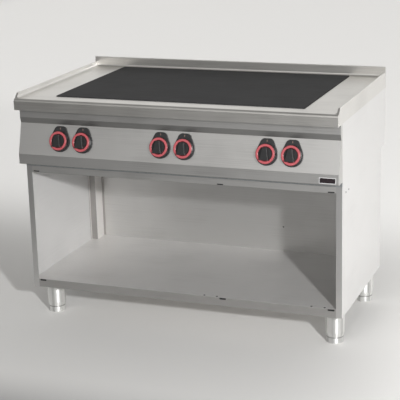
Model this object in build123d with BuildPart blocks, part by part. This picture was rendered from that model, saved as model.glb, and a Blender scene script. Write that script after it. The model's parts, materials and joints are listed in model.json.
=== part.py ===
"""A commercial electric range: one full-width hot plate with six zones, on an open stand.

Millimetres. X runs to the right seen from the front, Y to the back and Z up.
The floor is Z 0, and the origin is the middle of the footprint.
"""
import os
from math import acos, atan2, cos, degrees, hypot, sin, sqrt

from build123d import *

os.makedirs("parts", exist_ok=True)

# Overall sizes
range_width = 1200.0
worktop_depth = 700.0
leg_height = 121.0
cabinet_height = 473.0
module_height = 262.0

# Sheet metal
sheet = 1.5
bend_radius = 1.2
panel_inset = 0.5
fit_gap = 0.3

# Worktop: one folded sheet with apron, rims, upstand and cut-out
worktop_sheet = 1.5
apron_height = 42.0
front_edge_radius = 10.0
rim_thickness = 7.0
rim_height = 18.0
rim_start_gap = 1.0
rim_slope_run = 16.0
rim_slope_radius = 8.0
fold_radius = 2.5
cove_radius = 8.0
upstand_thickness = 6.0
upstand_height = 38.0
cutout_flange_depth = 30.0

# Hot plate and what carries it
plate_width = 930.0
plate_setback = 73.0
plate_rear_margin = 20.0
plate_thickness = 12.0
plate_proud = 3.0
plate_corner_radius = 3.0
plate_edge_radius = 1.0
plate_gap = 2.0
gasket_thickness = 1.0
frame_ledge = 17.0
frame_thickness = 3.0

# Heating elements, clamped under the plate in three columns and two rows
zone_columns = 3
zone_rows = 2
element_radius = 4.25
element_runs = 6
element_pitch = 42.0
zone_side_margin = 45.0
element_bend_radius = 12.0
element_shift = -4.0
element_gap = 0.1
cold_end_below_shield = 15.0
clamp_offset = 70.0
clamp_width = 20.0
clamp_thickness = 3.0
clamp_overhang = 15.0
stud_radius = 4.0
stud_length = 24.0
stud_hole_gap = 0.5
thread_gap = 0.05
clamp_nut_flats = 13.0
clamp_nut_height = 6.5

# Insulation and heat shield
insulation_thickness = 25.0
insulation_below_flange = 5.0
insulation_side_gap = 1.0
shield_sheet = 1.0
shield_overlap = 14.0
cold_end_hole_radius = 8.0

# Upper module panels
flange_width = 24.0
rear_flange_width = 7.0
rear_panel_recess = 4.0
floor_lip = 16.0
vent_slot_length = 60.0
vent_slot_height = 5.0
vent_columns = 8
vent_rows = 3
vent_column_pitch = 90.0
vent_row_pitch = 14.0
vent_below_top = 60.0

# Fascia, from the worktop down: upper strip, shadow strip, control face, lower band
fascia_lift = 18.0
lower_band_height = 37.5
face_rise = 110.5
shadow_strip_rise = 21.0
upper_strip_setback = 38.0
face_top_setback = 43.0
face_bottom_setback = 11.5
fascia_return = 18.0
fascia_bend_radius = 2.5

# Cabinet of the stand
cabinet_setback = 62.0
rear_overhang = 61.0
post_width = 22.0
top_rail_height = 24.0
top_rail_return = 20.0
shelf_fold_height = 31.0
back_recess = 1.5
rear_post_width = 26.0
rear_post_depth = 64.0
rear_post_lip = 10.0
rear_flange = 15.0
hinge_slot_inset = 17.5
middle_slot_inset = 417.5
hinge_slot_length = 24.0
hinge_slot_height = 4.5
hinge_slot_margin = 1.4
catch_hole_offsets = (-73.0, -25.0)
catch_hole_radius = 2.5
catch_hole_setback = 8.0

# Legs and feet
leg_side_inset = 48.0
leg_front_inset = 84.0
leg_rear_inset = 54.0
leg_radius = 34.5
leg_wall = 2.5
leg_tip_radius = 31.0
leg_tip_taper = 16.0
leg_plug_height = 18.0
leg_plate_size = 80.0
leg_plate_thickness = 3.0
foot_height = 25.0
foot_radius = 30.5
foot_edge = 3.0
foot_travel = 30.0
spindle_radius = 8.0
spindle_spare = 14.0
spindle_gap = 0.08
channel_thickness = 3.0

# Screws of the frame, one button-head size
screw_radius = 3.0
screw_length = 10.0
screw_head_radius = 5.5
screw_head_height = 3.0
screw_hole_gap = 0.3
leg_screw_offset = 31.0
rear_screw_columns = 5
rear_screw_margin = 12.0

# Controls: heights are measured out from the control face
knob_pair_inset = 210.0
knob_pair_spacing = 90.0
knob_drop = 60.0
bezel_radius = 39.0
bezel_thickness = 7.0
bezel_bore_radius = 12.0
bezel_edge_radius = 1.5
bezel_tab_reach = 54.0
bezel_tab_width = 50.0
bezel_tab_radius = 18.0
knob_gap = 0.5
knob_radius = 36.0
knob_front_radius = 35.0
knob_disc_height = 17.0
knob_wall = 3.0
knob_hub_radius = 8.0
ring_inner_radius = 24.0
ring_height = 5.0
ring_edge_radius = 3.6
grip_length = 46.0
grip_foot_width = 36.0
grip_tip_width = 18.0
grip_height = 14.0
grip_draft = 1.5
grip_edge_radius = 2.0
shaft_radius = 3.0
shaft_gap = 0.05
shaft_depth = 20.0
shaft_seat = 3.0
bush_radius = 5.0
bush_reach = 5.0
bush_hole_gap = 0.2
switch_nut_flats = 15.0
switch_nut_height = 4.0
switch_size = 44.0
switch_depth = 38.0
switch_tab_length = 9.0
switch_tab_width = 6.3
switch_tab_thickness = 0.8
switch_tab_spacing = 12.0

# Wiring, terminal block, cable inlet and bonding stud
loom_radius = 6.0
loom_branch_radius = 4.0
loom_lead_radius = 3.0
loom_setback = 40.0
service_inset = 80.0
terminal_width = 90.0
terminal_depth = 45.0
terminal_height = 48.0
terminal_gap = 10.0
terminal_poles = 5
terminal_pitch = 16.0
terminal_hole_radius = 5.0
terminal_hole_depth = 18.0
gland_thread_radius = 16.0
gland_bore_radius = 10.5
gland_flats = 38.0
gland_hex_height = 8.0
gland_dome_radius = 17.0
gland_dome_height = 22.0
gland_edge = 1.5
gland_thread_reach = 12.0
gland_nut_flats = 42.0
gland_nut_height = 6.0
bond_spacing = 80.0
bond_radius = 3.0
bond_reach = 18.0
bond_top_reach = 7.0
bond_nut_flats = 10.0
bond_nut_height = 5.0

# Levels
cabinet_top_z = leg_height + cabinet_height
work_surface_z = cabinet_top_z + module_height
skirt_bottom_z = work_surface_z - apron_height
rim_top_z = work_surface_z + rim_height
upstand_top_z = work_surface_z + upstand_height
shelf_top_z = leg_height + shelf_fold_height
floor_top_z = cabinet_top_z + sheet
plate_bottom_z = work_surface_z + plate_proud - plate_thickness
frame_top_z = plate_bottom_z - gasket_thickness
cutout_flange_z = work_surface_z - cutout_flange_depth
insulation_top_z = cutout_flange_z - insulation_below_flange
shield_top_z = insulation_top_z - insulation_thickness
element_z = plate_bottom_z - element_gap - element_radius
clamp_top_z = element_z - element_radius - element_gap
cold_end_z = shield_top_z - shield_sheet - cold_end_below_shield
fascia_bottom_z = cabinet_top_z + fascia_lift
face_bottom_z = fascia_bottom_z + lower_band_height
face_top_z = face_bottom_z + face_rise
shadow_top_z = face_top_z + shadow_strip_rise
fascia_top_z = work_surface_z - worktop_sheet
loom_z = fascia_bottom_z + sheet + loom_radius

# Control face: its lean, and how far the knobs reach in front of the worktop
face_lean = atan2(face_top_setback - face_bottom_setback, face_rise)
ring_front = knob_disc_height + ring_height
grip_front = ring_front + fit_gap + grip_height
knob_setback = face_top_setback - knob_drop * sin(face_lean)
knob_z = face_top_z - knob_drop * cos(face_lean)
grip_low = grip_length / 2 - grip_draft - grip_edge_radius
grip_reach = (grip_front - grip_edge_radius) * cos(face_lean) + grip_low * sin(face_lean) + grip_edge_radius
knob_overhang = grip_reach - knob_setback

# Places across the depth, with the footprint's middle at Y 0
plate_depth = worktop_depth - plate_setback - plate_rear_margin
cabinet_depth = worktop_depth - cabinet_setback - rear_overhang
worktop_front_y = (knob_overhang - worktop_depth) / 2
worktop_rear_y = worktop_front_y + worktop_depth
cabinet_front_y = worktop_front_y + cabinet_setback
cabinet_rear_y = cabinet_front_y + cabinet_depth
back_front_y = cabinet_rear_y - back_recess - sheet
plate_middle_y = worktop_front_y + plate_setback + plate_depth / 2
module_rear_y = worktop_rear_y - panel_inset
rear_panel_y = worktop_rear_y - rear_panel_recess
service_y = (cabinet_rear_y + rear_panel_y - sheet) / 2
loom_y = worktop_front_y + loom_setback
knob_y = worktop_front_y + knob_setback

# Places across the width
half_width = range_width / 2
panel_x = half_width - panel_inset
panel_inner_x = panel_x - sheet
post_inner_x = panel_x - post_width
leg_x = half_width - leg_side_inset
service_x = service_inset - half_width
hinge_slot_x = (
    hinge_slot_inset - post_inner_x,
    post_inner_x - middle_slot_inset,
    post_inner_x - hinge_slot_inset,
)
catch_hole_x = [slot_x + shift for slot_x in hinge_slot_x[1:] for shift in catch_hole_offsets]
leg_places = [
    (-leg_x, cabinet_front_y + leg_front_inset),
    (leg_x, cabinet_front_y + leg_front_inset),
    (-leg_x, cabinet_rear_y - leg_rear_inset),
    (leg_x, cabinet_rear_y - leg_rear_inset),
]
knob_pair_pitch = half_width - knob_pair_inset
knob_places = [
    pair * knob_pair_pitch + side * knob_pair_spacing / 2
    for pair in (-1, 0, 1)
    for side in (-1, 1)
]

# Zones under the plate, and the two cold ends and four studs of each
zone_places = [
    (
        (column - (zone_columns - 1) / 2) * plate_width / zone_columns,
        plate_middle_y + (row - (zone_rows - 1) / 2) * plate_depth / zone_rows,
    )
    for column in range(zone_columns)
    for row in range(zone_rows)
]
element_half_span = (element_runs - 1) * element_pitch / 2
element_run_length = plate_width / zone_columns - 2 * zone_side_margin
cold_end_x = element_shift - element_run_length / 2 - element_bend_radius
cold_end_places = [
    (x + cold_end_x, y + side * element_half_span)
    for x, y in zone_places
    for side in (-1, 1)
]
clamp_places = [(x + side * clamp_offset, y) for x, y in zone_places for side in (-1, 1)]
clamp_stud_offset = element_half_span - element_pitch / 2
stud_places = [(x, y + side * clamp_stud_offset) for x, y in clamp_places for side in (-1, 1)]

# Rectangles that nest in the cut-out, as width and depth
cutout_size = (plate_width + 2 * plate_gap, plate_depth + 2 * plate_gap)
cutout_radius = plate_corner_radius + plate_gap
flange_size = (cutout_size[0] + 2 * worktop_sheet, cutout_size[1] + 2 * worktop_sheet)
flange_radius = cutout_radius + worktop_sheet


def block(x_range, y_range, z_range, mode=Mode.ADD):
    """Add a plain box between two corners to the part being built."""
    ranges = (x_range, y_range, z_range)
    size = [abs(high - low) for low, high in ranges]
    centre = tuple((low + high) / 2 for low, high in ranges)
    with Locations(centre):
        Box(*size, mode=mode)


def knob_seat(x, height=0.0):
    """The plane of the control face at a knob, facing out, with its Y up the face."""
    lean_y, lean_z = -cos(face_lean), sin(face_lean)
    seat = Plane(origin=(x, knob_y, knob_z), x_dir=(1, 0, 0), z_dir=(0, lean_y, lean_z))
    return seat.offset(height)


def plate_plane(z):
    """A level plane centred under the hot plate."""
    return Plane(origin=(0, plate_middle_y, z))


def well(inset):
    """The space over the work surface, rounded where it meets the rims and the upstand."""
    radius = cove_radius + inset
    floor_z = work_surface_z - inset
    side_x = half_width - rim_thickness + inset
    rear_y = worktop_rear_y - upstand_thickness + inset
    with BuildPart() as space:
        block((-side_x, side_x), (worktop_front_y - radius, rear_y), (floor_z, upstand_top_z + radius))
        bottom = space.faces().sort_by(Axis.Z)[0].edges()
        fillet(bottom.filter_by(Axis.Y) + bottom.filter_by(Axis.X).sort_by(Axis.Y)[-1:], radius)
    return space.part


def worktop_form(inset):
    """The worktop's outer form, drawn in by an inset on every face."""
    slope_start_y = worktop_front_y + front_edge_radius + rim_start_gap
    slope_end_y = slope_start_y + rim_slope_run
    upstand_y = worktop_rear_y - upstand_thickness
    side_view = [
        (worktop_front_y, skirt_bottom_z),
        (worktop_front_y, work_surface_z),
        (slope_start_y, work_surface_z),
        (slope_end_y, rim_top_z),
        (upstand_y, rim_top_z),
        (upstand_y, upstand_top_z),
        (worktop_rear_y, upstand_top_z),
        (worktop_rear_y, skirt_bottom_z),
    ]
    fold = fold_radius - inset
    fold_z = rim_top_z - inset
    outer_x = half_width - inset
    inner_x = half_width - rim_thickness + inset
    with BuildPart() as form:
        with BuildSketch(Plane.YZ.offset(inset - half_width)) as along:
            with BuildLine():
                Polyline(*side_view, close=True)
            make_face()
            fillet(along.vertices().group_by(Axis.Y)[-1], fold_radius)
            front_edge = along.vertices().sort_by_distance((worktop_front_y, work_surface_z))[0]
            fillet(front_edge, front_edge_radius)
            slope_end = along.vertices().sort_by_distance((slope_end_y, rim_top_z))[0]
            fillet(slope_end, rim_slope_radius)
            if inset:
                offset(amount=-inset, mode=Mode.REPLACE)
        extrude(amount=range_width - 2 * inset)
        add(well(inset), mode=Mode.SUBTRACT)
        with BuildSketch(Plane.XZ.offset(-upstand_y - inset)):
            for x, inward in ((-outer_x, 1), (-inner_x, -1), (inner_x, 1), (outer_x, -1)):
                with Locations((x + inward * fold / 2, fold_z - fold / 2)):
                    Rectangle(fold, fold)
                with Locations((x + inward * fold, fold_z - fold)):
                    Circle(fold, mode=Mode.SUBTRACT)
        extrude(amount=worktop_depth, mode=Mode.SUBTRACT)
    return form.part


# Worktop
with BuildPart() as worktop:
    add(worktop_form(0))
    add(worktop_form(worktop_sheet), mode=Mode.SUBTRACT)
    block(
        (worktop_sheet - half_width, half_width - worktop_sheet),
        (worktop_front_y + worktop_sheet, worktop_rear_y - worktop_sheet),
        (skirt_bottom_z - worktop_sheet, skirt_bottom_z + 2 * worktop_sheet),
        mode=Mode.SUBTRACT,
    )
    with BuildSketch(plate_plane(cutout_flange_z)):
        RectangleRounded(*flange_size, flange_radius)
    extrude(amount=cutout_flange_depth - worktop_sheet / 2)
    with BuildSketch(plate_plane(cutout_flange_z)):
        RectangleRounded(*cutout_size, cutout_radius)
    extrude(amount=cutout_flange_depth + plate_proud, mode=Mode.SUBTRACT)
worktop.part.label = "worktop"
export_step(worktop.part, "parts/worktop.step")

# Hot plate, with the studs of the clamp bars welded under it
with BuildPart() as hot_plate:
    with BuildSketch(plate_plane(plate_bottom_z)):
        RectangleRounded(plate_width, plate_depth, plate_corner_radius)
    extrude(amount=plate_thickness)
    fillet(hot_plate.faces().sort_by(Axis.Z)[-1].edges(), plate_edge_radius)
    with BuildSketch(Plane.XY.offset(plate_bottom_z)):
        with Locations(*stud_places):
            Circle(stud_radius)
    extrude(amount=-stud_length)
hot_plate.part.label = "hot_plate"
export_step(hot_plate.part, "parts/hot_plate.step")

# Angle frame welded inside the cut-out, which carries the plate
ledge_size = (cutout_size[0] - 2 * frame_ledge, cutout_size[1] - 2 * frame_ledge)
upright_size = (cutout_size[0] - 2 * frame_thickness, cutout_size[1] - 2 * frame_thickness)
with BuildPart() as plate_frame:
    with BuildSketch(plate_plane(cutout_flange_z)):
        RectangleRounded(*cutout_size, cutout_radius)
        RectangleRounded(*upright_size, cutout_radius - frame_thickness, mode=Mode.SUBTRACT)
    extrude(amount=frame_top_z - cutout_flange_z)
    with BuildSketch(plate_plane(frame_top_z)):
        RectangleRounded(*cutout_size, cutout_radius)
        Rectangle(*ledge_size, mode=Mode.SUBTRACT)
    extrude(amount=-frame_thickness)
plate_frame.part.label = "plate_frame"
export_step(plate_frame.part, "parts/plate_frame.step")

# Fibre gasket between the frame and the plate
with BuildPart() as plate_gasket:
    with BuildSketch(plate_plane(frame_top_z)):
        RectangleRounded(plate_width, plate_depth, plate_corner_radius)
        Rectangle(*ledge_size, mode=Mode.SUBTRACT)
    extrude(amount=gasket_thickness)
plate_gasket.part.label = "plate_gasket"
export_step(plate_gasket.part, "parts/plate_gasket.step")

# One tubular element: straight runs joined by half turns, both ends bent down
half_run = element_run_length / 2
bend_mid = element_bend_radius * sqrt(0.5)
bend_z = element_z - element_bend_radius
drop_x = -half_run - element_bend_radius
with BuildPart() as element:
    with BuildLine() as element_route:
        for end_y in (-element_half_span, element_half_span):
            Line((drop_x, end_y, cold_end_z), (drop_x, end_y, bend_z))
            ThreePointArc(
                (drop_x, end_y, bend_z),
                (-half_run - bend_mid, end_y, bend_z + bend_mid),
                (-half_run, end_y, element_z),
            )
        for run in range(element_runs):
            run_y = run * element_pitch - element_half_span
            turn_x = half_run if run % 2 == 0 else -half_run
            Line((-turn_x, run_y, element_z), (turn_x, run_y, element_z))
            if run < element_runs - 1:
                bulge_x = turn_x + (element_pitch / 2 if turn_x > 0 else -element_pitch / 2)
                ThreePointArc(
                    (turn_x, run_y, element_z),
                    (bulge_x, run_y + element_pitch / 2, element_z),
                    (turn_x, run_y + element_pitch, element_z),
                )
    with BuildSketch(Plane.XY.offset(cold_end_z)):
        with Locations((drop_x, -element_half_span)):
            Circle(element_radius)
    sweep(path=element_route.wire())

# Heating elements, one in each zone
with BuildPart() as heating_elements:
    with Locations(*[(x + element_shift, y) for x, y in zone_places]):
        add(element.part)
heating_elements.part.label = "heating_elements"
export_step(heating_elements.part, "parts/heating_elements.step")

# Clamp bars across the runs, held by the plate's studs
clamp_length = 2 * (element_half_span + element_radius + clamp_overhang)
with BuildPart() as clamp_bars:
    with BuildSketch(Plane.XY.offset(clamp_top_z)):
        with Locations(*clamp_places):
            Rectangle(clamp_width, clamp_length)
        with Locations(*stud_places):
            Circle(stud_radius + stud_hole_gap, mode=Mode.SUBTRACT)
    extrude(amount=-clamp_thickness)
clamp_bars.part.label = "clamp_bars"
export_step(clamp_bars.part, "parts/clamp_bars.step")

# Nuts under the clamp bars
with BuildPart() as clamp_nuts:
    with BuildSketch(Plane.XY.offset(clamp_top_z - clamp_thickness)):
        with Locations(*stud_places):
            RegularPolygon(clamp_nut_flats / 2, 6, major_radius=False)
            Circle(stud_radius + thread_gap, mode=Mode.SUBTRACT)
    extrude(amount=-clamp_nut_height)
clamp_nuts.part.label = "clamp_nuts"
export_step(clamp_nuts.part, "parts/clamp_nuts.step")

# Heat shield: a tray welded round the cut-out flange
shield_size = (flange_size[0] + 2 * shield_sheet, flange_size[1] + 2 * shield_sheet)
shield_radius = flange_radius + shield_sheet
shield_bottom_z = shield_top_z - shield_sheet
shield_rim_z = cutout_flange_z + shield_overlap
with BuildPart() as heat_shield:
    with BuildSketch(plate_plane(shield_bottom_z)):
        RectangleRounded(*shield_size, shield_radius)
    extrude(amount=shield_rim_z - shield_bottom_z)
    with BuildSketch(plate_plane(shield_top_z)):
        RectangleRounded(*flange_size, flange_radius)
    extrude(amount=shield_rim_z - shield_top_z, mode=Mode.SUBTRACT)
    with BuildSketch(Plane.XY.offset(shield_bottom_z)):
        with Locations(*cold_end_places):
            Circle(cold_end_hole_radius)
    extrude(amount=shield_sheet, mode=Mode.SUBTRACT)
heat_shield.part.label = "heat_shield"
export_step(heat_shield.part, "parts/heat_shield.step")

# Ceramic fibre board lying in the heat shield
board_size = (flange_size[0] - 2 * insulation_side_gap, flange_size[1] - 2 * insulation_side_gap)
with BuildPart() as insulation_board:
    with BuildSketch(plate_plane(shield_top_z)):
        RectangleRounded(*board_size, flange_radius)
    extrude(amount=insulation_thickness)
    with BuildSketch(Plane.XY.offset(shield_top_z)):
        with Locations(*cold_end_places):
            Circle(cold_end_hole_radius)
    extrude(amount=insulation_thickness, mode=Mode.SUBTRACT)
insulation_board.part.label = "insulation_board"
export_step(insulation_board.part, "parts/insulation_board.step")

# Fascia: one folded sheet with end caps
fascia_line = [
    (cabinet_front_y, fascia_top_z),
    (worktop_front_y + upper_strip_setback, fascia_top_z),
    (worktop_front_y + upper_strip_setback, shadow_top_z),
    (worktop_front_y + face_top_setback, face_top_z),
    (worktop_front_y + face_bottom_setback, face_bottom_z),
    (worktop_front_y + face_bottom_setback, fascia_bottom_z),
    (cabinet_front_y + fascia_return, fascia_bottom_z),
]
cap_top_z = skirt_bottom_z - fit_gap
with BuildPart() as fascia:
    with BuildSketch(Plane.YZ.offset(-panel_inner_x)):
        with BuildLine():
            FilletPolyline(*fascia_line, radius=fascia_bend_radius)
            offset(amount=sheet, side=Side.LEFT)
        make_face()
    extrude(amount=2 * panel_inner_x)
    for cap_x in (-panel_x, panel_inner_x):
        with BuildSketch(Plane.YZ.offset(cap_x)):
            with BuildLine():
                FilletPolyline(*fascia_line, radius=fascia_bend_radius, close=False)
                Line(fascia_line[-1], fascia_line[0])
            make_face()
        extrude(amount=sheet)
    for side in (-1, 1):
        block(
            (side * (panel_inner_x - fit_gap), side * half_width),
            (cabinet_front_y, cabinet_front_y + 2 * fascia_return),
            (fascia_bottom_z - sheet, fascia_top_z + sheet),
            mode=Mode.SUBTRACT,
        )
        block(
            (side * (half_width - worktop_sheet - fit_gap), side * half_width),
            (worktop_front_y, cabinet_front_y + fascia_return),
            (cap_top_z, fascia_top_z + sheet),
            mode=Mode.SUBTRACT,
        )
    for x in knob_places:
        with BuildSketch(knob_seat(x)):
            Circle(bush_radius + bush_hole_gap)
        extrude(amount=-2 * sheet, mode=Mode.SUBTRACT)
fascia.part.label = "fascia"
export_step(fascia.part, "parts/fascia.step")

# Sides of the upper module
for side, name in ((-1, "upper_side_left"), (1, "upper_side_right")):
    with BuildPart() as upper_side:
        block(
            (side * panel_inner_x, side * panel_x),
            (cabinet_front_y, module_rear_y),
            (cabinet_top_z, skirt_bottom_z),
        )
        block(
            (side * (panel_inner_x - flange_width), side * panel_x),
            (cabinet_front_y, rear_panel_y - sheet),
            (skirt_bottom_z - sheet, skirt_bottom_z),
        )
    upper_side.part.label = name
    export_step(upper_side.part, f"parts/{name}.step")

# Rear panel of the upper module, with ventilation slots
rear_screw_span = 2 * (panel_inner_x - rear_screw_margin)
rear_screw_places = [
    (rear_screw_span * (column / (rear_screw_columns - 1) - 0.5), z)
    for column in range(rear_screw_columns)
    for z in (floor_top_z + floor_lip / 2, skirt_bottom_z - rear_screw_margin)
]
with BuildPart() as upper_rear_panel:
    block(
        (-panel_inner_x, panel_inner_x),
        (rear_panel_y - sheet, rear_panel_y),
        (floor_top_z, skirt_bottom_z),
    )
    rear_flange_x = panel_inner_x - flange_width - fit_gap
    block(
        (-rear_flange_x, rear_flange_x),
        (rear_panel_y - sheet - rear_flange_width, rear_panel_y),
        (skirt_bottom_z - sheet, skirt_bottom_z),
    )
    with BuildSketch(Plane.XZ.offset(-rear_panel_y)):
        with Locations((0, skirt_bottom_z - vent_below_top)):
            with GridLocations(vent_column_pitch, vent_row_pitch, vent_columns, vent_rows):
                SlotOverall(vent_slot_length, vent_slot_height)
        with Locations(*rear_screw_places):
            Circle(screw_radius + screw_hole_gap)
    extrude(amount=sheet, mode=Mode.SUBTRACT)
upper_rear_panel.part.label = "upper_rear_panel"
export_step(upper_rear_panel.part, "parts/upper_rear_panel.step")

# Floor of the upper module, which is the ceiling of the bay
lip_rear_y = rear_panel_y - sheet
lower_screws = [place for place in rear_screw_places if place[1] < floor_top_z + floor_lip]
with BuildPart() as upper_floor:
    block((-panel_inner_x, panel_inner_x), (cabinet_front_y, rear_panel_y), (cabinet_top_z, floor_top_z))
    block(
        (-panel_inner_x, panel_inner_x),
        (cabinet_front_y, cabinet_front_y + sheet),
        (cabinet_top_z, fascia_bottom_z),
    )
    block(
        (-panel_inner_x, panel_inner_x),
        (lip_rear_y - sheet, lip_rear_y),
        (cabinet_top_z, floor_top_z + floor_lip),
    )
    for side in (-1, 1):
        block(
            (side * (panel_inner_x - sheet), side * panel_inner_x),
            (cabinet_front_y, lip_rear_y),
            (cabinet_top_z, min(floor_top_z + floor_lip, fascia_bottom_z - fit_gap)),
        )
    with BuildSketch(Plane.XY.offset(cabinet_top_z)):
        with Locations((service_x, service_y)):
            Circle(gland_thread_radius + fit_gap)
        with Locations((service_x + bond_spacing, service_y)):
            Circle(bond_radius + fit_gap)
    extrude(amount=sheet, mode=Mode.SUBTRACT)
    with BuildSketch(Plane.XZ.offset(-lip_rear_y)):
        with Locations(*lower_screws):
            Circle(screw_radius + screw_hole_gap)
    extrude(amount=sheet, mode=Mode.SUBTRACT)
upper_floor.part.label = "upper_floor"
export_step(upper_floor.part, "parts/upper_floor.step")

# Sides of the stand, with the front post, top flange and rear flange folded in
post_front_y = back_front_y - rear_post_depth - rear_post_lip
for side, name in ((-1, "cabinet_side_left"), (1, "cabinet_side_right")):
    with BuildPart() as cabinet_side:
        block(
            (side * panel_inner_x, side * panel_x),
            (cabinet_front_y, cabinet_rear_y),
            (leg_height, cabinet_top_z),
        )
        block(
            (side * post_inner_x, side * panel_x),
            (cabinet_front_y, cabinet_front_y + sheet),
            (leg_height, cabinet_top_z),
        )
        block(
            (side * post_inner_x, side * panel_x),
            (cabinet_front_y, post_front_y - fit_gap),
            (cabinet_top_z - sheet, cabinet_top_z),
        )
        block(
            (side * (panel_inner_x - rear_flange), side * panel_x),
            (cabinet_rear_y - sheet, cabinet_rear_y),
            (leg_height, cabinet_top_z),
        )
        outer_corner = (side * panel_x, cabinet_front_y, leg_height)
        upright_edges = cabinet_side.edges().filter_by(Axis.Z)
        fillet(upright_edges.sort_by_distance(outer_corner)[0], bend_radius)
    cabinet_side.part.label = name
    export_step(cabinet_side.part, f"parts/{name}.step")

# Rail over the bay, between the posts, with the door-hinge slots
rail_bottom_z = cabinet_top_z - top_rail_height
rail_slot_z = rail_bottom_z + hinge_slot_margin + hinge_slot_height / 2
with BuildPart() as top_rail:
    block(
        (-post_inner_x, post_inner_x),
        (cabinet_front_y, cabinet_front_y + sheet),
        (rail_bottom_z, cabinet_top_z),
    )
    for flange_z in (rail_bottom_z, cabinet_top_z - sheet):
        block(
            (-post_inner_x, post_inner_x),
            (cabinet_front_y, cabinet_front_y + top_rail_return),
            (flange_z, flange_z + sheet),
        )
    rail_edges = top_rail.edges().filter_by(Axis.X)
    fillet(rail_edges.sort_by_distance((0, cabinet_front_y, rail_bottom_z))[0], bend_radius)
    with BuildSketch(Plane.XZ.offset(-cabinet_front_y)):
        with Locations(*[(x, rail_slot_z) for x in hinge_slot_x]):
            SlotOverall(hinge_slot_length, hinge_slot_height)
    extrude(amount=-sheet, mode=Mode.SUBTRACT)
top_rail.part.label = "top_rail"
export_step(top_rail.part, "parts/top_rail.step")

# Floor of the bay, folded down on all four sides; its front fold is the bottom rail
shelf_slot_z = shelf_top_z - hinge_slot_margin - hinge_slot_height / 2
with BuildPart() as cabinet_shelf:
    block(
        (-panel_inner_x, panel_inner_x),
        (cabinet_front_y + sheet, back_front_y),
        (leg_height, shelf_top_z),
    )
    block(
        (-post_inner_x, post_inner_x),
        (cabinet_front_y, cabinet_front_y + sheet),
        (leg_height, shelf_top_z),
    )
    block(
        (sheet - panel_inner_x, panel_inner_x - sheet),
        (cabinet_front_y + sheet, back_front_y - sheet),
        (leg_height, shelf_top_z - sheet),
        mode=Mode.SUBTRACT,
    )
    for side in (-1, 1):
        block(
            (side * (post_inner_x - sheet), side * panel_inner_x),
            (cabinet_front_y + sheet, cabinet_front_y + 2 * sheet),
            (leg_height, shelf_top_z - sheet),
        )
    shelf_edges = cabinet_shelf.edges().filter_by(Axis.X)
    fillet(shelf_edges.sort_by_distance((0, cabinet_front_y, shelf_top_z))[0], bend_radius)
    with BuildSketch(Plane.XZ.offset(-cabinet_front_y)):
        with Locations(*[(x, shelf_slot_z) for x in hinge_slot_x]):
            SlotOverall(hinge_slot_length, hinge_slot_height)
    extrude(amount=-sheet, mode=Mode.SUBTRACT)
    with BuildSketch(Plane.XY.offset(shelf_top_z)):
        with Locations(*[(x, cabinet_front_y + catch_hole_setback) for x in catch_hole_x]):
            Circle(catch_hole_radius)
    extrude(amount=-sheet, mode=Mode.SUBTRACT)
cabinet_shelf.part.label = "cabinet_shelf"
export_step(cabinet_shelf.part, "parts/cabinet_shelf.step")

# Back wall of the bay
with BuildPart() as cabinet_back:
    block((-panel_inner_x, panel_inner_x), (back_front_y, back_front_y + sheet), (leg_height, cabinet_top_z))
cabinet_back.part.label = "cabinet_back"
export_step(cabinet_back.part, "parts/cabinet_back.step")

# Folded posts in the rear corners of the bay, with a lip on each wall
with BuildPart() as rear_posts:
    for side in (-1, 1):
        post_face_x = panel_inner_x - rear_post_width
        post_face_y = back_front_y - rear_post_depth
        height = (shelf_top_z, cabinet_top_z)
        block((side * post_face_x, side * panel_inner_x), (post_face_y, post_face_y + sheet), height)
        block((side * post_face_x, side * (post_face_x + sheet)), (post_face_y, back_front_y), height)
        block(
            (side * (post_face_x - rear_post_lip), side * post_face_x),
            (back_front_y - sheet, back_front_y),
            height,
        )
        block((side * (panel_inner_x - sheet), side * panel_inner_x), (post_front_y, post_face_y), height)
rear_posts.part.label = "rear_posts"
export_step(rear_posts.part, "parts/rear_posts.step")

# Channels under the bay floor, which carry the legs
channel_inner_x = leg_x - leg_plate_size / 2
channel_outer_x = leg_x + leg_plate_size / 2
leg_screw_places = [
    (x + side_x * leg_screw_offset, y + side_y * leg_screw_offset)
    for x, y in leg_places
    for side_x in (-1, 1)
    for side_y in (-1, 1)
]
with BuildPart() as base_channels:
    length = (cabinet_front_y + 2 * sheet, back_front_y - sheet)
    for side in (-1, 1):
        block((side * channel_inner_x, side * channel_outer_x), length, (leg_height, shelf_top_z - sheet))
        block(
            (side * (channel_inner_x + channel_thickness), side * (channel_outer_x - channel_thickness)),
            length,
            (leg_height + channel_thickness, shelf_top_z - sheet),
            mode=Mode.SUBTRACT,
        )
    with BuildSketch(Plane.XY.offset(leg_height)):
        with Locations(*leg_screw_places):
            Circle(screw_radius + screw_hole_gap)
    extrude(amount=channel_thickness, mode=Mode.SUBTRACT)
base_channels.part.label = "base_channels"
export_step(base_channels.part, "parts/base_channels.step")

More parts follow.
